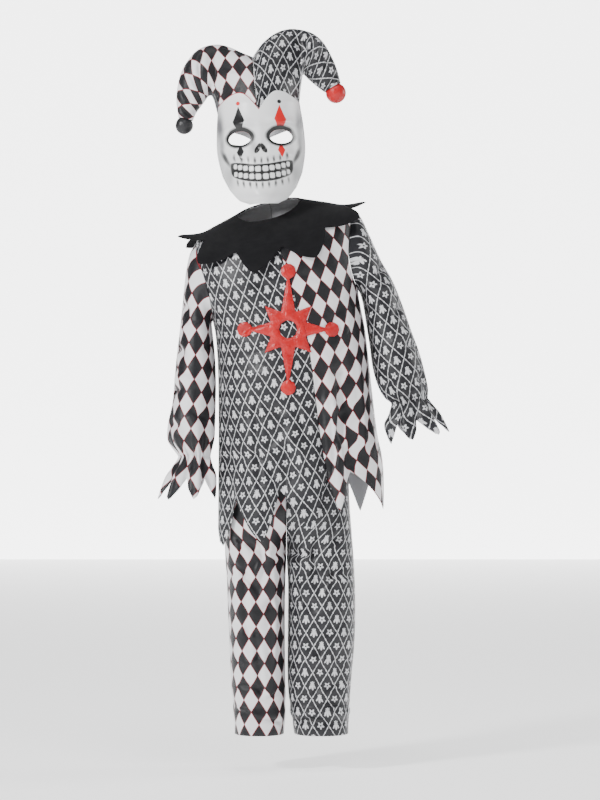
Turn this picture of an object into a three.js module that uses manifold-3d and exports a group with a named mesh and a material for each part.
// A child's jester costume, worn: a harlequin tunic with gathered sleeves and a pointed felt
// collar, trousers, and a two-horned cap on a moulded skull mask. Millimetres, +Z up. The wearer
// faces -Y and the wearer's left is +X. The origin is the middle of the neck opening.
import * as THREE from 'three';
import { mergeVertices } from 'three/addons/utils/BufferGeometryUtils.js';
import Module from 'manifold-3d';

const wasm = await Module();
wasm.setup();

// Walls and clearances
const CLOTH = 1.2;
const FELT = 1.5;
const MASK_WALL = 2.5;
const SEAM_HALF_GAP = 0.22;
const ARMHOLE_HALF_GAP = 0.25;
const LONGEST_MITRE = 2.2;

// Satin, felt, plastic and elastic
const SATIN_BLACK = 0x1b1a1d;
const SATIN_RED = 0xb3141c;
const SATIN_WHITE = 0xd9d6d2;
const FELT_BLACK = 0x0f0f11;
const MASK_WHITE = 0xe6e4df;
const ELASTIC_WHITE = 0xe4e0da;

const costume = new THREE.Group();

// Small helpers on angles, tables and surfaces

const radians = THREE.MathUtils.degToRad;
const degrees = THREE.MathUtils.radToDeg;
const cosine = (angle) => Math.cos(radians(angle));
const sine = (angle) => Math.sin(radians(angle));
const point = (x, y, z) => new THREE.Vector3(x, y, z);
const bump = (offset, spread) => Math.exp(-((offset / spread) ** 2));

// Names the columns of a table, so that each row is read by name.
function table(columns, rows) {
  const names = columns.split(' ');
  return rows.map((row) => Object.fromEntries(names.map((name, i) => [name, row[i]])));
}

// A row at a place between two rows, on a smooth curve through all of them.
function rowAt(rows, place) {
  const last = rows.length - 1;
  const before = THREE.MathUtils.clamp(Math.floor(place), 0, last - 1);
  const f = place - before;
  const near = [-1, 0, 1, 2].map((step) => rows[THREE.MathUtils.clamp(before + step, 0, last)]);
  const row = {};
  for (const name of Object.keys(rows[0])) {
    const [a, b, c, d] = near.map((r) => r[name]);
    const quadratic = 2 * a - 5 * b + 4 * c - d;
    const cubic = 3 * b - a - 3 * c + d;
    row[name] = 0.5 * (2 * b + (c - a) * f + quadratic * f ** 2 + cubic * f ** 3);
  }
  return row;
}

// The place in a table where a rising column reaches a value.
function placeOf(rows, column, value) {
  const last = rows.length - 1;
  let i = rows.findIndex((row) => row[column] >= value) - 1;
  if (i === -2) i = last - 1;
  i = THREE.MathUtils.clamp(i, 0, last - 1);
  return i + (value - rows[i][column]) / (rows[i + 1][column] - rows[i][column]);
}

// The outward direction of a surface, from its two sets of lines.
function normalAt(surface, u, v, stepU, stepV, sign) {
  const alongU = surface(u + stepU, v).sub(surface(u - stepU, v));
  const alongV = surface(u, v + stepV).sub(surface(u, v - stepV));
  return alongV.cross(alongU).normalize().multiplyScalar(sign);
}

// A closed oval a little squarer than an ellipse. Angle 0 is the wearer's right, 90 the front,
// 180 the left and 270 the back.
function oval(angle, squareness) {
  const across = cosine(angle);
  const toFront = sine(angle);
  const reach = (Math.abs(across) ** squareness + Math.abs(toFront) ** squareness) ** (-1 / squareness);
  return { across: across * reach, toFront: toFront * reach };
}

// A closed cloth wall from its outer points, row by row, and the same points on its inner side.
function wallGeometry(outer, inner, round) {
  const rows = outer.length;
  const columns = outer[0].length;
  const spans = round ? columns : columns - 1;
  const positions = [];
  for (const side of [outer, inner]) {
    for (const row of side) {
      for (const p of row) positions.push(p.x, p.y, p.z);
    }
  }
  const out = (j, i) => j * columns + (i % columns);
  const back = (j, i) => rows * columns + out(j, i);
  const index = [];
  const quad = (a, b, c, d) => index.push(a, b, c, a, c, d);
  for (let j = 0; j < rows - 1; j += 1) {
    for (let i = 0; i < spans; i += 1) {
      quad(out(j, i), out(j + 1, i), out(j + 1, i + 1), out(j, i + 1));
      quad(back(j, i + 1), back(j + 1, i + 1), back(j + 1, i), back(j, i));
    }
    if (!round) {
      quad(out(j, 0), back(j, 0), back(j + 1, 0), out(j + 1, 0));
      quad(out(j, columns - 1), out(j + 1, columns - 1), back(j + 1, columns - 1), back(j, columns - 1));
    }
  }
  for (let i = 0; i < spans; i += 1) {
    quad(out(0, i), out(0, i + 1), back(0, i + 1), back(0, i));
    quad(out(rows - 1, i + 1), out(rows - 1, i), back(rows - 1, i), back(rows - 1, i + 1));
  }
  const geometry = new THREE.BufferGeometry();
  geometry.setAttribute('position', new THREE.Float32BufferAttribute(positions, 3));
  geometry.setIndex(index);
  return facingOut(geometry);
}

// Turns a closed mesh the right way round where it came out inside out.
function facingOut(geometry) {
  const position = geometry.attributes.position;
  const index = geometry.index.array;
  const corners = [point(0, 0, 0), point(0, 0, 0), point(0, 0, 0)];
  let volume = 0;
  for (let i = 0; i < index.length; i += 3) {
    corners.forEach((corner, k) => corner.fromBufferAttribute(position, index[i + k]));
    volume += corners[0].dot(corners[1].clone().cross(corners[2])) / 6;
  }
  if (volume < 0) geometry.setIndex(Array.from(index).reverse());
  geometry.computeVertexNormals();
  return geometry;
}

function addPiece(name, geometry, color, roughness) {
  const material = new THREE.MeshStandardMaterial({ color, roughness, metalness: 0 });
  const mesh = new THREE.Mesh(geometry, material);
  mesh.name = name;
  costume.add(mesh);
}

// Solids for joins and cuts

function solidOf(geometry) {
  const bare = geometry.clone();
  bare.deleteAttribute('normal');
  bare.deleteAttribute('uv');
  const merged = mergeVertices(bare);
  const vertProperties = new Float32Array(merged.attributes.position.array);
  const triVerts = new Uint32Array(merged.index.array);
  return new wasm.Manifold(new wasm.Mesh({ numProp: 3, vertProperties, triVerts }));
}

function geometryOf(solid) {
  const mesh = solid.getMesh();
  const geometry = new THREE.BufferGeometry();
  geometry.setAttribute('position', new THREE.Float32BufferAttribute(mesh.vertProperties, 3));
  geometry.setIndex(Array.from(mesh.triVerts));
  geometry.computeVertexNormals();
  return geometry;
}

// The tunic's body, as level rings from the neck edge down: row 2 holds the shoulder points, row 4
// the armpits, row 8 the notches of the hem and row 9 the tips.
const TUNIC_RINGS = table('rightX rightZ leftX leftZ frontY frontZ backY backZ', [
  [-54, -13, 63, 16, -50, -24, 46, 14],
  [-92, -35, 108, 8, -82, -56, 70, -2],
  [-128, -62, 152, -6, -97, -98, 84, -44],
  [-126, -125, 168, -72, -103, -146, 92, -105],
  [-98, -205, 167, -150, -106, -194, 96, -165],
  [-90, -262, 180, -225, -109, -246, 98, -232],
  [-87, -349, 192, -330, -111, -335, 101, -330],
  [-85, -440, 202, -410, -115, -420, 105, -418],
  [-85, -533, 212, -461, -119, -500, 110, -497],
  [-86, -611, 216, -543, -121, -588, 113, -580],
]);
const BODY_SQUARENESS = 2.4;
const SHOULDER_RIDGE = 3;
const SHOULDER_ROW = 2;
const ARMHOLE_ROW = 3;
const ARMPIT_ROW = 4;
const HEM_ROW = 8;

// Soft folds that fall to the hem. A minus depth is a trough.
const TUNIC_FOLDS = table('angle spread depth from', [
  [14, 9, 4, 5.2],
  [33, 7, -5, 5.8],
  [58, 9, 5, 5.5],
  [76, 6, -5, 6.2],
  [92, 8, 4, 5.6],
  [108, 5, -9, 4.6],
  [115, 5, 6, 4.8],
  [126, 6, -10, 4.4],
  [148, 11, 5, 5.4],
  [170, 7, -4, 6],
  [204, 8, 5, 5.2],
  [222, 7, -6, 5.6],
  [243, 7, -7, 4.8],
  [262, 8, 5, 5],
  [282, 7, -5, 5.3],
  [303, 8, 5, 5.7],
  [324, 7, -5, 5.2],
  [345, 8, 3, 5.6],
]);
const FOLD_FADE_ROWS = 2.4;

// Pointed teeth round the hem, by the angles of their notches and tips.
const HEM_TEETH = table('from tip to reach columns', [
  [0, 24, 41, 1, 4],
  [41, 64, 75, 1, 4],
  [75, 97, 108.5, 0.92, 4],
  [108.5, 114.5, 126.5, 0.68, 4],
  [126.5, 160, 180, 1, 6],
  [180, 196, 210, 1, 4],
  [210, 226, 240, 1, 4],
  [240, 254, 270, 1, 4],
  [270, 286, 300, 1, 4],
  [300, 314, 330, 1, 4],
  [330, 344, 360, 1, 4],
]);
const TUNIC_LEVELS = [0, 0.6, 1.2, 1.6, 2, 2.07, 2.25, 2.6, 3, 3.4, 3.75, 3.93, 4, 4.5, 5, 5.5, 6, 6.5, 7, 7.6];
const HEM_START = TUNIC_LEVELS.at(-1);
const HEM_STEPS = [0.5, 1];

function ringPoint(row, angle) {
  const { across, toFront } = oval(angle, BODY_SQUARENESS);
  const middleX = (row.rightX + row.leftX) / 2;
  const middleZ = (row.rightZ + row.leftZ) / 2;
  const tilt = (row.rightZ - row.leftZ) / 2;
  const faceZ = toFront > 0 ? row.frontZ : row.backZ;
  const faceShare = 1 - Math.abs(cosine(angle)) ** SHOULDER_RIDGE;
  return point(
    middleX - across * (row.leftX - row.rightX) / 2,
    toFront > 0 ? toFront * row.frontY : -toFront * row.backY,
    middleZ + tilt * across + (faceZ - middleZ) * faceShare,
  );
}

function foldDepth(angle, level) {
  let depth = 0;
  for (const fold of TUNIC_FOLDS) {
    const shown = THREE.MathUtils.smoothstep(level, fold.from, fold.from + FOLD_FADE_ROWS);
    depth += fold.depth * shown * bump(angle - fold.angle, fold.spread);
  }
  return depth;
}

function tunicPoint(angle, level) {
  const fold = foldDepth(angle, level);
  return ringPoint(rowAt(TUNIC_RINGS, level), angle).add(point(-cosine(angle) * fold, -sine(angle) * fold, 0));
}

const tunicNormal = (angle, level) => normalAt(tunicPoint, angle, level, 1, 0.03, 1);

// The half turn by which a panel stays back from a seam, at a level.
function seamTurn(level) {
  const row = rowAt(TUNIC_RINGS, level);
  return degrees(SEAM_HALF_GAP / ((row.leftX - row.rightX) / 2));
}

// The armholes: an oval round the side line, with the sleeves' slots 0 at the shoulder, 90 at the
// front, 180 at the armpit and 270 at the back.
const ARMHOLE_TURN = 34;
const armholeAngle = (level) => ARMHOLE_TURN * Math.sqrt(Math.max(0, 1 - (level - ARMHOLE_ROW) ** 2));
const slotOfLevel = (level) => degrees(Math.acos(THREE.MathUtils.clamp(ARMHOLE_ROW - level, -1, 1)));

const SIDES = {
  right: { sideAngle: 0, turn: 1 },
  left: { sideAngle: 180, turn: -1 },
};

const armholeAt = (side, slot) => ({
  angle: side.sideAngle + side.turn * ARMHOLE_TURN * sine(slot),
  level: ARMHOLE_ROW - cosine(slot),
});

// The sleeves, as rings from the armhole down to the cuff frill. The outer and inner points are the
// ends of each ring's long axis. The last two rows are the notches and tips of the frill.
const SLEEVE_COLUMNS = 'outerX outerZ innerX innerZ halfDepth middleY wave';
const RIGHT_SLEEVE = table(SLEEVE_COLUMNS, [
  [-128, -62, -98, -205, 50, 0, 0],
  [-140, -84, -99.5, -212, 52, 0, 0],
  [-147, -120, -98.5, -221, 53, -1, 0],
  [-152, -165, -97, -236, 53, -2, 0],
  [-157, -215, -94.5, -258, 52, -4, 0],
  [-163, -265, -92.5, -288, 51, -7, 0],
  [-167, -310, -91.5, -322, 50, -11, 0],
  [-170, -352, -91.5, -356, 50, -16, 0.5],
  [-177, -392, -92, -392, 50, -21, 1.5],
  [-176, -422, -94, -420, 48, -24, 2.5],
  [-158, -451, -101, -450, 31, -27, 2],
  [-166, -470, -98, -468, 36, -29, 4],
  [-177, -490, -92.5, -488, 44, -31, 6],
  [-190, -528, -93, -526, 48, -33, 6],
]);
const LEFT_SLEEVE = table(SLEEVE_COLUMNS, [
  [152, -6, 167, -150, 50, 0, 0],
  [170, -14, 171, -158, 52, 0, 0],
  [188, -50, 174.5, -170, 53, -1, 0],
  [207, -92, 178.5, -192, 53, -3, 0],
  [230, -133, 183, -222, 52, -6, 0],
  [248, -178, 188, -254, 51, -10, 0],
  [263, -222, 192, -286, 50, -15, 0],
  [277, -262, 198, -313, 50, -20, 0.5],
  [286, -300, 206, -334, 49, -25, 1.5],
  [290, -326, 216, -347, 45, -28, 2.5],
  [290.5, -346, 226, -356, 31, -31, 2],
  [299, -360, 222, -376, 38, -33, 4],
  [309, -376, 215, -396, 45, -35, 6],
  [325, -408, 226, -428, 47, -37, 6],
]);
const FRILL_WAVES = 7;
const SLEEVE_FACETS = 28;
const SLEEVE_LEVELS = [1, 2, 3, 4, 5, 6, 7, 8, 9, 9.6, 10, 10.5];
const FRILL_STEPS = [0.5, 1];
const FRILL_ROW = 12;
const HEAD_ROWS = 3;

const frillWave = (slot) => Math.cos(radians(slot * FRILL_WAVES));

function sleeveRing(rows, slot, level) {
  const row = rowAt(rows, level);
  const middle = point((row.outerX + row.innerX) / 2, row.middleY, (row.outerZ + row.innerZ) / 2);
  const long = point((row.outerX - row.innerX) / 2, 0, (row.outerZ - row.innerZ) / 2);
  const spoke = long.multiplyScalar(cosine(slot)).add(point(0, -row.halfDepth * sine(slot), 0));
  const gather = spoke.clone().normalize().multiplyScalar(row.wave * frillWave(slot));
  return middle.add(spoke).add(gather);
}

// What the two walls share along an armhole: the seam point, the way to the inner side and the way
// to the sleeve, at each of the panels' own points.
function armholeFrames(side, rows) {
  const seamPoint = (slot) => {
    const { angle, level } = armholeAt(side, slot);
    return tunicPoint(angle, level);
  };
  const levels = TUNIC_LEVELS.filter((level) => level >= SHOULDER_ROW && level <= ARMPIT_ROW);
  const downFront = levels.map(slotOfLevel);
  const upBack = downFront.slice(1, -1).reverse().map((slot) => 360 - slot);
  const slots = [...downFront, ...upBack, 360];
  return slots.map((slot) => {
    const { angle, level } = armholeAt(side, slot);
    const seam = seamPoint(slot);
    const along = seamPoint(slot + 1).sub(seamPoint(slot - 1)).normalize();
    const intoSleeve = sleeveRing(rows, slot, 1).sub(seam);
    const bodyNormal = tunicNormal(angle, level);
    const sleeveNormal = intoSleeve.clone().cross(along).normalize().multiplyScalar(side.turn);
    const mitre = bodyNormal.clone().add(sleeveNormal);
    const stretch = Math.min(2 / mitre.length(), LONGEST_MITRE);
    mitre.normalize();
    const toSleeve = intoSleeve.clone().addScaledVector(along, -intoSleeve.dot(along));
    toSleeve.addScaledVector(mitre, -toSleeve.dot(mitre)).normalize();
    return { slot, seam, inward: mitre.multiplyScalar(-CLOTH * stretch), toSleeve };
  });
}

const ARMHOLES = {
  right: armholeFrames(SIDES.right, RIGHT_SLEEVE),
  left: armholeFrames(SIDES.left, LEFT_SLEEVE),
};

// A place on an armhole's seam. Towards is 1 for the sleeve's edge and -1 for the body's.
function armholeEdge(frames, slot, towards) {
  const after = frames.findIndex((frame) => frame.slot >= slot - 1e-6);
  const b = frames[Math.max(after, 1)];
  const a = frames[Math.max(after, 1) - 1];
  const f = THREE.MathUtils.clamp((slot - a.slot) / (b.slot - a.slot), 0, 1);
  const seam = a.seam.clone().lerp(b.seam, f);
  const toSleeve = a.toSleeve.clone().lerp(b.toSleeve, f);
  const outer = seam.addScaledVector(toSleeve, ARMHOLE_HALF_GAP * towards);
  return { outer, inner: outer.clone().add(a.inward.clone().lerp(b.inward, f)) };
}

// The columns of a toothed hem: each has its angle and how far down its tooth it reaches.
function hemColumns(teeth) {
  const columns = [{ angle: teeth[0].from, reach: 0 }];
  for (const tooth of teeth) {
    for (let i = 1; i <= tooth.columns; i += 1) {
      const share = 2 * i / tooth.columns;
      const toTip = Math.min(share, 1);
      const pastTip = Math.max(share - 1, 0);
      const angle = tooth.from + (tooth.tip - tooth.from) * toTip + (tooth.to - tooth.tip) * pastTip;
      columns.push({ angle, reach: tooth.reach * (toTip - pastTip) });
    }
  }
  return columns;
}

// Levels down a cloth with a toothed edge: plain levels first, then steps to each column's reach.
function toothedLevels(levels, steps, edgeRow) {
  const start = levels.at(-1);
  const plain = levels.map((level) => () => level);
  const toothed = steps.map((step) => (reach) => start + (edgeRow + reach - start) * step);
  return [...plain, ...toothed];
}

// The middle front seam runs down and a little to the wearer's left.
const SEAM_AT_NECK = 93;
const SEAM_AT_HEM = 108.5;
const BACK_SEAM = 270;
const frontSeam = (level) => THREE.MathUtils.lerp(SEAM_AT_NECK, SEAM_AT_HEM, level / HEM_ROW);

const TUNIC_PANELS = [
  {
    name: 'tunic_front_right',
    color: SATIN_BLACK,
    armhole: 'right',
    armholeFirst: true,
    from: (level) => armholeAngle(level),
    to: frontSeam,
    hem: [0, SEAM_AT_HEM],
  },
  {
    name: 'tunic_front_left',
    color: SATIN_WHITE,
    armhole: 'left',
    armholeFirst: false,
    from: frontSeam,
    to: (level) => 180 - armholeAngle(level),
    hem: [SEAM_AT_HEM, 180],
  },
  {
    name: 'tunic_back_left',
    color: SATIN_WHITE,
    armhole: 'left',
    armholeFirst: true,
    from: (level) => 180 + armholeAngle(level),
    to: () => BACK_SEAM,
    hem: [180, BACK_SEAM],
  },
  {
    name: 'tunic_back_right',
    color: SATIN_BLACK,
    armhole: 'right',
    armholeFirst: false,
    from: () => BACK_SEAM,
    to: (level) => 360 - armholeAngle(level),
    hem: [BACK_SEAM, 360],
  },
];
const SHOULDER_CORNER = 0.6;

function panelColumns(panel) {
  const [first, last] = panel.hem;
  return hemColumns(HEM_TEETH.filter((tooth) => tooth.from >= first && tooth.to <= last));
}

// The angle of a panel's column at a level, between its two seams.
function panelAngle(panel, column, level) {
  const height = Math.min(level, HEM_ROW);
  const [first, last] = panel.hem;
  const from = panel.from(height) + seamTurn(height);
  const to = panel.to(height) - seamTurn(height);
  return from + (to - from) * (column.angle - first) / (last - first);
}

function tunicPanel(panel) {
  const columns = panelColumns(panel);
  const armholeColumn = panel.armholeFirst ? 0 : columns.length - 1;
  const isBack = panel.hem[0] >= 180;
  const outer = [];
  const inner = [];
  for (const levelOf of toothedLevels(TUNIC_LEVELS, HEM_STEPS, HEM_ROW)) {
    const outerRow = [];
    const innerRow = [];
    columns.forEach((column, i) => {
      const level = levelOf(column.reach);
      if (i === armholeColumn && level >= SHOULDER_ROW && level <= ARMPIT_ROW) {
        const down = THREE.MathUtils.clamp(slotOfLevel(level), SHOULDER_CORNER, 180 - SHOULDER_CORNER);
        const edge = armholeEdge(ARMHOLES[panel.armhole], isBack ? 360 - down : down, -1);
        outerRow.push(edge.outer);
        innerRow.push(edge.inner);
        return;
      }
      const angle = panelAngle(panel, column, level);
      const place = tunicPoint(angle, level);
      outerRow.push(place);
      innerRow.push(place.clone().addScaledVector(tunicNormal(angle, level), -CLOTH));
    });
    outer.push(outerRow);
    inner.push(innerRow);
  }
  return wallGeometry(outer, inner, false);
}

for (const panel of TUNIC_PANELS) {
  addPiece(panel.name, tunicPanel(panel), panel.color, 0.45);
}

// Each sleeve starts on its armhole's seam and takes its own oval over the first rows.
function sleeveGeometry(side, rows, frames) {
  const surface = (slot, level) => {
    const around = (slot % 360 + 360) % 360;
    const own = sleeveRing(rows, around, level);
    const left = Math.max(0, 1 - level / HEAD_ROWS) ** 2;
    const start = armholeEdge(frames, around, 1).outer.sub(sleeveRing(rows, around, 0));
    return own.addScaledVector(start, left);
  };
  const slots = Array.from({ length: SLEEVE_FACETS }, (_, i) => i * 360 / SLEEVE_FACETS);
  const head = slots.map((slot) => armholeEdge(frames, slot, 1));
  const outer = [head.map((edge) => edge.outer)];
  const inner = [head.map((edge) => edge.inner)];
  for (const levelOf of toothedLevels(SLEEVE_LEVELS, FRILL_STEPS, FRILL_ROW)) {
    const outerRow = [];
    const innerRow = [];
    for (const slot of slots) {
      const level = levelOf((1 + frillWave(slot)) / 2);
      const place = surface(slot, level);
      const normal = normalAt(surface, slot, level, 3, 0.05, side.turn);
      outerRow.push(place);
      innerRow.push(place.clone().addScaledVector(normal, -CLOTH));
    }
    outer.push(outerRow);
    inner.push(innerRow);
  }
  return wallGeometry(outer, inner, true);
}

addPiece('sleeve_right', sleeveGeometry(SIDES.right, RIGHT_SLEEVE, ARMHOLES.right), SATIN_WHITE, 0.45);
addPiece('sleeve_left', sleeveGeometry(SIDES.left, LEFT_SLEEVE, ARMHOLES.left), SATIN_BLACK, 0.45);

// The felt collar lies on the shoulders and stands off them at its ten points. Rows: neck edge,
// halfway, notches and points.
const COLLAR_RINGS = table('rightX rightZ leftX leftZ frontY frontZ backY backZ lift', [
  [-54, -13, 63, 16, -50, -24, 46, 14, 2.4],
  [-92, -35, 108, 8, -82, -56, 70, -2, 3.8],
  [-118, -49, 140, 3, -93, -79, 82, -30, 4.5],
  [-160, -57, 182, 6, -107, -120, 100, -88, 6],
]);
const COLLAR_TEETH = 10;
const COLLAR_START = -10;
const COLLAR_LEVELS = [0, 0.5, 1, 1.5];
const COLLAR_STEPS = [0.55, 1];
const COLLAR_NOTCH_ROW = 2;

function collarSurface(angle, level) {
  return ringPoint(rowAt(COLLAR_RINGS, level), angle);
}

function collarGeometry(firstTooth, teethCount) {
  const step = 360 / COLLAR_TEETH;
  const teeth = Array.from({ length: teethCount }, (_, i) => {
    const from = COLLAR_START + (firstTooth + i) * step;
    return { from, tip: from + step / 2, to: from + step, reach: 1, columns: 4 };
  });
  const columns = hemColumns(teeth);
  columns[0].angle += seamTurn(0);
  columns.at(-1).angle -= seamTurn(0);
  const outer = [];
  const inner = [];
  for (const levelOf of toothedLevels(COLLAR_LEVELS, COLLAR_STEPS, COLLAR_NOTCH_ROW)) {
    const places = columns.map((column) => {
      const level = levelOf(column.reach);
      const normal = normalAt(collarSurface, column.angle, level, 1, 0.03, 1);
      const lift = rowAt(COLLAR_RINGS, level).lift;
      return { at: collarSurface(column.angle, level).addScaledVector(normal, lift), normal };
    });
    outer.push(places.map((place) => place.at));
    inner.push(places.map((place) => place.at.clone().addScaledVector(place.normal, -FELT)));
  }
  return wallGeometry(outer, inner, false);
}

addPiece('collar_front', collarGeometry(0, COLLAR_TEETH / 2), FELT_BLACK, 0.95);
addPiece('collar_back', collarGeometry(COLLAR_TEETH / 2, COLLAR_TEETH / 2), FELT_BLACK, 0.95);

// The red applique on the front: an eight-pointed star with discs on its four long rays. It is cut
// from a padded copy of the front that stands just off the cloth.
const STAR = {
  x: 40,
  z: -223,
  rayUp: 104,
  rayAcross: 78,
  raySlant: 60,
  waist: 34,
  disc: 14,
  hole: 16,
  gap: 0.65,
  pad: 2,
};
const STAR_LEVELS = TUNIC_LEVELS.filter((level) => level >= SHOULDER_ROW && level <= 6.5);
const STAR_FIRST_ANGLE = 48;
const STAR_LAST_ANGLE = 150;
const PRISM_FRONT = -160;
const PRISM_DEPTH = 110;

function starPatch() {
  const [frontRight, frontLeft] = TUNIC_PANELS;
  const near = (column) => column.angle > STAR_FIRST_ANGLE && column.angle < STAR_LAST_ANGLE;
  const rightColumns = panelColumns(frontRight).filter(near);
  const leftColumns = panelColumns(frontLeft).filter(near).slice(1);
  const layer = (height) => STAR_LEVELS.map((level) => {
    const rightAngles = rightColumns.map((column) => panelAngle(frontRight, column, level));
    const leftAngles = leftColumns.map((column) => panelAngle(frontLeft, column, level));
    return [...rightAngles, ...leftAngles].map((angle) => {
      return tunicPoint(angle, level).addScaledVector(tunicNormal(angle, level), height);
    });
  });
  return wallGeometry(layer(STAR.gap + STAR.pad), layer(STAR.gap), false);
}

// Stands a flat outline up so that it runs through the front along Y.
function frontPrism(shape) {
  const geometry = new THREE.ExtrudeGeometry(shape, { depth: PRISM_DEPTH, bevelEnabled: false, curveSegments: 5 });
  geometry.rotateX(Math.PI / 2);
  geometry.translate(0, PRISM_FRONT + PRISM_DEPTH, 0);
  return solidOf(geometry);
}

function discShape(x, z, radius) {
  const shape = new THREE.Shape();
  shape.absarc(x, z, radius, 0, 2 * Math.PI);
  return shape;
}

function starShape() {
  const outline = [];
  for (let i = 0; i < 16; i += 1) {
    const angle = i * 22.5;
    const isRay = i % 2 === 0;
    const isLong = i % 4 === 0;
    const upright = i % 8 === 4;
    const longRay = upright ? STAR.rayUp : STAR.rayAcross;
    const ray = isLong ? longRay : STAR.raySlant;
    const radius = isRay ? ray : STAR.waist;
    outline.push(new THREE.Vector2(STAR.x + radius * cosine(angle), STAR.z + radius * sine(angle)));
  }
  return new THREE.Shape(outline);
}

function starGeometry() {
  let prism = frontPrism(starShape());
  const discs = [
    [0, STAR.rayUp],
    [0, -STAR.rayUp],
    [STAR.rayAcross, 0],
    [-STAR.rayAcross, 0],
  ];
  for (const [x, z] of discs) {
    prism = prism.add(frontPrism(discShape(STAR.x + x, STAR.z + z, STAR.disc)));
  }
  prism = prism.subtract(frontPrism(discShape(STAR.x, STAR.z, STAR.hole)));
  return geometryOf(solidOf(starPatch()).intersect(prism));
}

addPiece('applique_star', starGeometry(), SATIN_RED, 0.4);

// The trousers, as level rings from the ankle hems up to the waist casing. Each row holds both legs
// and the hips that they grow into.
const TROUSER_COLUMNS = 'z rightOuterX rightInnerX leftInnerX leftOuterX legFrontY legBackY hipFrontY hipBackY';
const TROUSER_RINGS = table(TROUSER_COLUMNS, [
  [-955, -58, 32, 50, 149, -56, 58, -92, 92],
  [-909, -61, 35, 42, 151, -58, 60, -92, 92],
  [-851, -65, 34, 38.5, 155, -61, 63, -92, 92],
  [-794, -67, 33.5, 38.5, 160, -64, 66, -92, 92],
  [-736, -70, 33.5, 39, 162, -67, 68, -92, 92],
  [-679, -72, 34.5, 39, 161, -70, 71, -92, 92],
  [-637, -75, 36.2, 36.8, 159, -73, 73, -92, 92],
  [-601, -77, 36.2, 36.8, 156, -76, 76, -92, 92],
  [-529, -82.9, 36.2, 36.8, 151, -80, 80, -92, 92],
  [-470, -72, 36.2, 36.8, 150, -80, 80, -90, 90],
  [-430, -64, 36.2, 36.8, 149, -80, 80, -86, 88],
  [-400, -56, 36.2, 36.8, 146, -80, 80, -82, 84],
  [-365, -54, 36.2, 36.8, 144, -80, 80, -80, 82],
]);
const TROUSER_LEVELS = [
  -400, -435, -480, -529, -560, -590, -612, -632, -652, -680, -722, -770, -820, -870, -893, -908, -922, -938, -955,
];
const LEG_SQUARENESS = 2.3;
const LEG_FACETS = 8;
const CROTCH_Z = -640;
const HIP_Z = -545;
const CENTRE_X = 36.5;
const CENTRE_GAP = 0.2;
const SIDE_SHARE = 0.0012;

// Creases pressed by hand into the legs. Angle 0 is a leg's outer side, 90 its front, 180 the
// inseam and 270 its back.
const TROUSER_CREASES = table('leg angle z spreadAngle spreadZ depth', [
  [0, 92, -655, 16, 62, -6],
  [0, 60, -700, 18, 90, 4],
  [0, 118, -790, 15, 80, -4],
  [0, 70, -905, 70, 9, -4],
  [0, 250, -690, 18, 80, -5],
  [0, 290, -820, 16, 70, 4],
  [0, 265, -900, 70, 9, -4],
  [1, 100, -640, 15, 55, -5],
  [1, 72, -730, 18, 80, 4],
  [1, 55, -845, 16, 60, -4],
  [1, 88, -900, 80, 7, -6],
  [1, 80, -915, 80, 7, 5],
  [1, 95, -929, 80, 7, -5],
  [1, 262, -680, 18, 80, -5],
  [1, 280, -912, 80, 8, -5],
]);

const LEGS = [
  { name: 'right', outer: 'rightOuterX', inner: 'rightInnerX', centre: CENTRE_X - CENTRE_GAP, turn: 1 },
  { name: 'left', outer: 'leftOuterX', inner: 'leftInnerX', centre: CENTRE_X + CENTRE_GAP, turn: -1 },
];

function trouserCrease(legNumber, angle, z) {
  let depth = 0;
  for (const crease of TROUSER_CREASES) {
    if (crease.leg !== legNumber) continue;
    depth += crease.depth * bump(angle - crease.angle, crease.spreadAngle) * bump(z - crease.z, crease.spreadZ);
  }
  return depth;
}

// A place on a leg's panel. Share 0 is the side seam, and share 1 is the inseam and, above the
// crotch, the middle seam.
function trouserPoint(legNumber, isFront, share, z) {
  const leg = LEGS[legNumber];
  const row = rowAt(TROUSER_RINGS, placeOf(TROUSER_RINGS, 'z', z));
  const hips = THREE.MathUtils.smoothstep(z, CROTCH_Z, HIP_Z);
  const around = oval(180 * share, LEG_SQUARENESS);
  const half = (row[leg.inner] - row[leg.outer]) / 2;
  const legPlace = point(
    (row[leg.outer] + row[leg.inner]) / 2 - half * around.across,
    around.toFront * (isFront ? row.legFrontY : row.legBackY),
    z,
  );
  const hipAround = oval(90 * share, LEG_SQUARENESS);
  const hipPlace = point(
    leg.centre - (leg.centre - row[leg.outer]) * hipAround.across,
    hipAround.toFront * (isFront ? row.hipFrontY : row.hipBackY),
    z,
  );
  const slot = isFront ? 180 * share : 360 - 180 * share;
  const crease = trouserCrease(legNumber, slot, z);
  const out = point(-leg.turn * cosine(slot), -sine(slot), 0);
  return legPlace.lerp(hipPlace, hips).addScaledVector(out, crease);
}

function trouserPanel(legNumber, isFront) {
  const leg = LEGS[legNumber];
  const surface = (share, z) => trouserPoint(legNumber, isFront, share, z);
  const sign = leg.turn * (isFront ? -1 : 1);
  const outer = [];
  const inner = [];
  for (const z of TROUSER_LEVELS) {
    const outerRow = [];
    const innerRow = [];
    for (let i = 0; i <= LEG_FACETS; i += 1) {
      const share = SIDE_SHARE + (1 - 2 * SIDE_SHARE) * i / LEG_FACETS;
      const place = surface(share, z);
      const normal = normalAt(surface, share, z, 0.006, 1, sign);
      outerRow.push(place);
      innerRow.push(place.clone().addScaledVector(normal, -CLOTH));
    }
    outer.push(outerRow);
    inner.push(innerRow);
  }
  return wallGeometry(outer, inner, false);
}

LEGS.forEach((leg, legNumber) => {
  const color = leg.name === 'right' ? SATIN_WHITE : SATIN_BLACK;
  addPiece(`trouser_${leg.name}_front`, trouserPanel(legNumber, true), color, 0.45);
  addPiece(`trouser_${leg.name}_back`, trouserPanel(legNumber, false), color, 0.45);
});

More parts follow.
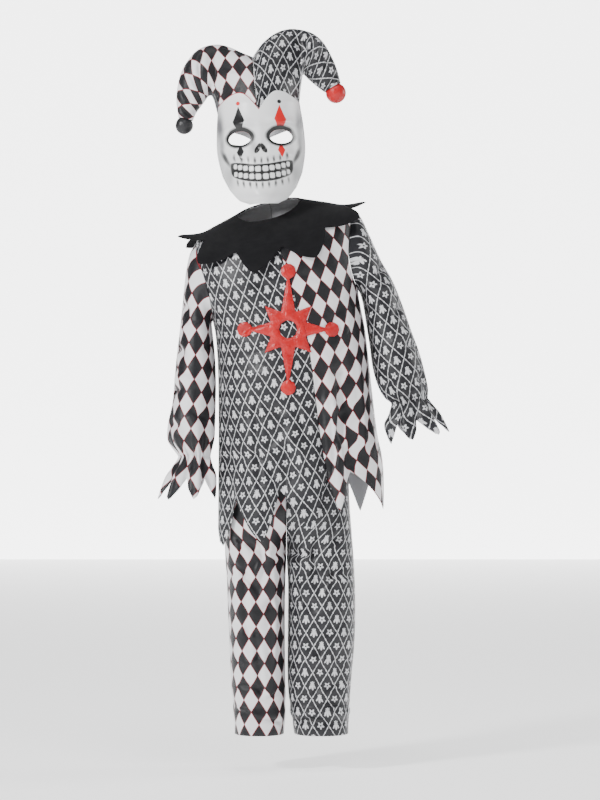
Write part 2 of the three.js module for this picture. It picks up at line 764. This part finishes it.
// The elastic waist casing stands on the trousers' upper edge, gathered all round.
const CASING = { bottom: -399.6, top: -368, facets: 40, gather: 1.4, wall: 2 };

function casingPoint(angle, z, gather) {
  const row = rowAt(TROUSER_RINGS, placeOf(TROUSER_RINGS, 'z', z));
  const around = oval(angle, LEG_SQUARENESS);
  const half = (row.leftOuterX - row.rightOuterX) / 2;
  const wave = gather * Math.cos(radians(angle * CASING.facets / 2));
  const faceY = around.toFront > 0 ? row.hipFrontY : row.hipBackY;
  return point(
    (row.rightOuterX + row.leftOuterX) / 2 - around.across * (half + wave),
    Math.abs(around.toFront) * (faceY + Math.sign(faceY) * wave),
    z,
  );
}

function casingGeometry() {
  const angles = Array.from({ length: CASING.facets }, (_, i) => i * 360 / CASING.facets);
  const levels = [CASING.top, (CASING.top + CASING.bottom) / 2, CASING.bottom];
  const outer = levels.map((z) => angles.map((angle) => casingPoint(angle, z, CASING.gather)));
  const middleX = (TROUSER_RINGS.at(-1).rightOuterX + TROUSER_RINGS.at(-1).leftOuterX) / 2;
  const inner = outer.map((row) => row.map((place) => {
    const spoke = point(place.x - middleX, place.y, 0).normalize();
    return place.clone().addScaledVector(spoke, -CASING.wall);
  }));
  return wallGeometry(outer, inner, true);
}

addPiece('waist_casing', casingGeometry(), SATIN_BLACK, 0.6);

// The moulded mask. Its own frame has X across and Z up from its middle, and is rolled a little.
const MASK = { x: -9, z: 100.8, roll: 3, chin: -99, columns: 20, rows: 14 };
const MASK_WIDTHS = table('z halfWidth middleY edgeY', [
  [-99, 26, -99, -84],
  [-91, 42, -102, -70],
  [-83, 50, -104, -60],
  [-69, 60.5, -107, -48],
  [-42, 72.5, -108, -38],
  [0, 80, -105, -34],
  [45, 78.5, -101, -34],
  [84, 74, -92, -36],
  [106, 70, -85, -38],
]);
const MASK_TOP = { notch: 71, dome: 104, edge: 84 };
const MASK_ROUNDNESS = 2.4;

// Low relief: brows, cheeks, nose hollow, mouth ridge and sockets. Each line is mirrored.
const MASK_RELIEF = table('x z spreadX spreadZ depth', [
  [38, 46, 26, 10, 4],
  [37, 20, 25, 17, -5],
  [46, -16, 17, 13, 5],
  [0, 34, 9, 22, 3],
  [7, 2, 8, 12, -5],
  [16, -42, 34, 20, 5],
  [54, -48, 12, 22, -4],
  [0, -86, 22, 10, 4],
]);
const EYE = { x: 37, z: 20, halfWidth: 20, halfHeight: 12.5 };

function maskTop(across) {
  const reach = Math.abs(across);
  if (reach < 0.5) return MASK_TOP.notch + (MASK_TOP.dome - MASK_TOP.notch) * Math.sin(Math.PI * reach);
  return MASK_TOP.dome - (MASK_TOP.dome - MASK_TOP.edge) * ((reach - 0.5) / 0.5) ** 2;
}

// From the mask's own frame to the costume's.
function maskPlace(x, y, z) {
  return point(
    MASK.x + x * cosine(MASK.roll) - z * sine(MASK.roll),
    y,
    MASK.z + x * sine(MASK.roll) + z * cosine(MASK.roll),
  );
}

function maskDepth(x, z) {
  const row = rowAt(MASK_WIDTHS, placeOf(MASK_WIDTHS, 'z', z));
  const reach = Math.min(Math.abs(x / row.halfWidth), 1);
  let y = row.middleY + (row.edgeY - row.middleY) * reach ** MASK_ROUNDNESS;
  for (const line of MASK_RELIEF) {
    const sides = line.x === 0 ? [0] : [-line.x, line.x];
    for (const side of sides) {
      y -= line.depth * bump(x - side, line.spreadX) * bump(z - line.z, line.spreadZ);
    }
  }
  return y;
}

function maskPoint(across, up) {
  const z = MASK.chin + (maskTop(across) - MASK.chin) * up;
  const row = rowAt(MASK_WIDTHS, placeOf(MASK_WIDTHS, 'z', z));
  const x = across * row.halfWidth;
  return maskPlace(x, maskDepth(x, z), z);
}

function maskGeometry() {
  const outer = [];
  const inner = [];
  for (let j = 0; j <= MASK.rows; j += 1) {
    const up = j / MASK.rows;
    const outerRow = [];
    const innerRow = [];
    for (let i = 0; i <= MASK.columns; i += 1) {
      const across = THREE.MathUtils.clamp(2 * i / MASK.columns - 1, -0.998, 0.998);
      const place = maskPoint(across, up);
      const normal = normalAt(maskPoint, across, up, 0.002, 0.01, -1);
      outerRow.push(place);
      innerRow.push(place.clone().addScaledVector(normal, -MASK_WALL));
    }
    outer.push(outerRow);
    inner.push(innerRow);
  }
  let solid = solidOf(wallGeometry(outer, inner, false));
  for (const side of [-1, 1]) {
    const eye = new THREE.Shape();
    const middle = maskPlace(side * EYE.x, 0, EYE.z);
    eye.absellipse(middle.x, middle.z, EYE.halfWidth, EYE.halfHeight, 0, 2 * Math.PI, false, radians(MASK.roll));
    solid = solid.subtract(frontPrism(eye));
  }
  return geometryOf(solid);
}

addPiece('mask', maskGeometry(), MASK_WHITE, 0.35);

// The elastic strap runs from edge to edge of the mask round the back of the head.
const STRAP = { x: -10, halfWidth: 76.5, startY: -33.5, backY: 92, z: 118, height: 7, wall: 1.2, facets: 22 };

function strapGeometry() {
  const strapPoint = (angle, z, inset) => point(
    STRAP.x - cosine(angle) * (STRAP.halfWidth - inset),
    STRAP.startY + sine(angle) * (STRAP.backY - STRAP.startY - inset),
    z,
  );
  const angles = Array.from({ length: STRAP.facets + 1 }, (_, i) => i * 180 / STRAP.facets);
  const levels = [STRAP.z + STRAP.height / 2, STRAP.z - STRAP.height / 2];
  const outer = levels.map((z) => angles.map((angle) => strapPoint(angle, z, 0)));
  const inner = levels.map((z) => angles.map((angle) => strapPoint(angle, z, STRAP.wall)));
  return wallGeometry(outer, inner, false);
}

addPiece('mask_strap', strapGeometry(), ELASTIC_WHITE, 0.8);

// The cap's two halves, as sections from the middle seam to the tip of each horn. Upper is the
// ridge seam, lower is the front hem and then the seam under the horn. Closed is 0 where the
// section is open for the head and 1 where it is a tube. The drop takes the back hem lower. On the
// mask is 1 where the front hem is tucked behind the mask.
const CAP_COLUMNS = 'upperX upperZ lowerX lowerZ frontDepth backDepth closed drop onMask';
const CAP_RIGHT = table(CAP_COLUMNS, [
  [-25, 275, -15, 164, 80, 86, 0, 40, 1],
  [-47, 284, -40, 186, 76, 84, 0, 48, 1],
  [-67, 293, -62, 189, 62, 78, 0, 44, 1],
  [-90, 298, -83, 184, 40, 66, 0.25, 30, 1],
  [-117, 292.5, -97, 208, 36, 48, 0.8, 8, 0.1],
  [-137, 277, -105, 204, 35, 37, 1, 0, 0],
  [-154, 250, -112, 195, 29, 29, 1, 0, 0],
  [-162, 221, -120, 184, 24, 24, 1, 0, 0],
  [-164, 193, -128, 173, 19, 19, 1, 0, 0],
  [-160, 165, -134, 159, 13.5, 13.5, 1, 0, 0],
]);
const CAP_LEFT = table(CAP_COLUMNS, [
  [-25, 275, -15, 164, 80, 86, 0, 40, 1],
  [-7, 300, 5, 184, 78, 84, 0, 48, 1],
  [16, 318, 25, 196, 70, 78, 0, 52, 1],
  [40, 326, 43, 196, 52, 70, 0.1, 44, 1],
  [64, 324.5, 58, 194, 42, 58, 0.5, 20, 1],
  [86, 317, 60, 228, 40, 46, 0.9, 3, 0],
  [104, 301, 66, 243, 34, 35, 1, 0, 0],
  [118, 277, 77, 234, 28, 28, 1, 0, 0],
  [128, 254, 91, 222, 22, 22, 1, 0, 0],
  [135, 228, 106, 211, 16.5, 16.5, 1, 0, 0],
]);
const CAP_LEVELS = [0, 0.5, 1, 1.5, 2, 2.5, 3, 3.5, 4, 4.5, 5, 6, 7, 8, 9];
const CAP_FACETS = 7;
const CAP_MIDDLE_Y = -5;
const CAP_HALF_GAP = 0.2;
const BEHIND_MASK = 1;
const MASK_TOP_HALF = 74;

// The depth at which the front hem clears the inside of the mask's upper edge.
function tuckedDepth(x) {
  const rolled = x - MASK.x + MASK_TOP.dome * sine(MASK.roll);
  const across = THREE.MathUtils.clamp(rolled / MASK_TOP_HALF, -1, 1);
  const edgeX = across * MASK_TOP_HALF;
  const edgeZ = maskTop(across);
  const slope = (maskDepth(edgeX + 1, edgeZ) - maskDepth(edgeX - 1, edgeZ)) / 2;
  const innerY = maskDepth(edgeX, edgeZ) + MASK_WALL * Math.hypot(1, slope);
  return CAP_MIDDLE_Y - (innerY + BEHIND_MASK);
}

function capPoint(rows, isFront, share, place) {
  const row = rowAt(rows, place);
  const closed = THREE.MathUtils.clamp(row.closed, 0, 1);
  const sweep = 90 * (1 + closed);
  const swept = share * sweep;
  const down = (1 - cosine(swept)) / (1 - cosine(sweep));
  const onMask = THREE.MathUtils.clamp(row.onMask, 0, 1);
  const frontDepth = THREE.MathUtils.lerp(row.frontDepth, tuckedDepth(row.lowerX), onMask);
  const depth = isFront ? -frontDepth : row.backDepth;
  const lowerZ = row.lowerZ - (isFront ? 0 : row.drop);
  return point(
    row.upperX + (row.lowerX - row.upperX) * down,
    CAP_MIDDLE_Y + depth * sine(swept),
    row.upperZ + (lowerZ - row.upperZ) * down,
  );
}

function capPanel(rows, isFront, towardsTip) {
  const surface = (share, place) => capPoint(rows, isFront, share, place);
  const sign = towardsTip * (isFront ? -1 : 1);
  const outer = [];
  const inner = [];
  for (const level of CAP_LEVELS) {
    const outerRow = [];
    const innerRow = [];
    for (let i = 0; i <= CAP_FACETS; i += 1) {
      const share = i / CAP_FACETS;
      const normal = normalAt(surface, share, Math.max(level, 0.02), 0.01, 0.02, sign);
      const place = surface(share, level);
      place.y += isFront ? -CAP_HALF_GAP : CAP_HALF_GAP;
      if (level === 0) {
        place.x += towardsTip * CAP_HALF_GAP;
        normal.x = 0;
        normal.normalize();
      }
      if (i === 0 || (i === CAP_FACETS && level >= 5)) {
        normal.y = 0;
        normal.normalize();
      }
      outerRow.push(place);
      innerRow.push(place.clone().addScaledVector(normal, -CLOTH));
    }
    outer.push(outerRow);
    inner.push(innerRow);
  }
  return wallGeometry(outer, inner, false);
}

addPiece('cap_right_front', capPanel(CAP_RIGHT, true, -1), SATIN_WHITE, 0.45);
addPiece('cap_right_back', capPanel(CAP_RIGHT, false, -1), SATIN_WHITE, 0.45);
addPiece('cap_left_front', capPanel(CAP_LEFT, true, 1), SATIN_BLACK, 0.45);
addPiece('cap_left_back', capPanel(CAP_LEFT, false, 1), SATIN_BLACK, 0.45);

// A stuffed ball plugs the open end of each horn.
const BALLS = [
  { name: 'ball_right', rows: CAP_RIGHT, radius: 16.5, color: SATIN_BLACK },
  { name: 'ball_left', rows: CAP_LEFT, radius: 19, color: SATIN_RED },
];
const BALL_SEAT_GAP = 0.5;

for (const ball of BALLS) {
  const tip = ball.rows.at(-1);
  const upper = point(tip.upperX, CAP_MIDDLE_Y, tip.upperZ);
  const lower = point(tip.lowerX, CAP_MIDDLE_Y, tip.lowerZ);
  const mouth = upper.distanceTo(lower) / 2 - CLOTH - BALL_SEAT_GAP;
  const outOfHorn = point(upper.z - lower.z, 0, lower.x - upper.x).normalize();
  if (outOfHorn.z > 0) outOfHorn.negate();
  const middle = upper.clone().lerp(lower, 0.5);
  middle.addScaledVector(outOfHorn, Math.sqrt(ball.radius ** 2 - mouth ** 2));
  const geometry = new THREE.SphereGeometry(ball.radius, 16, 10);
  geometry.translate(middle.x, middle.y, middle.z);
  addPiece(ball.name, geometry, ball.color, 0.4);
}

export default costume;
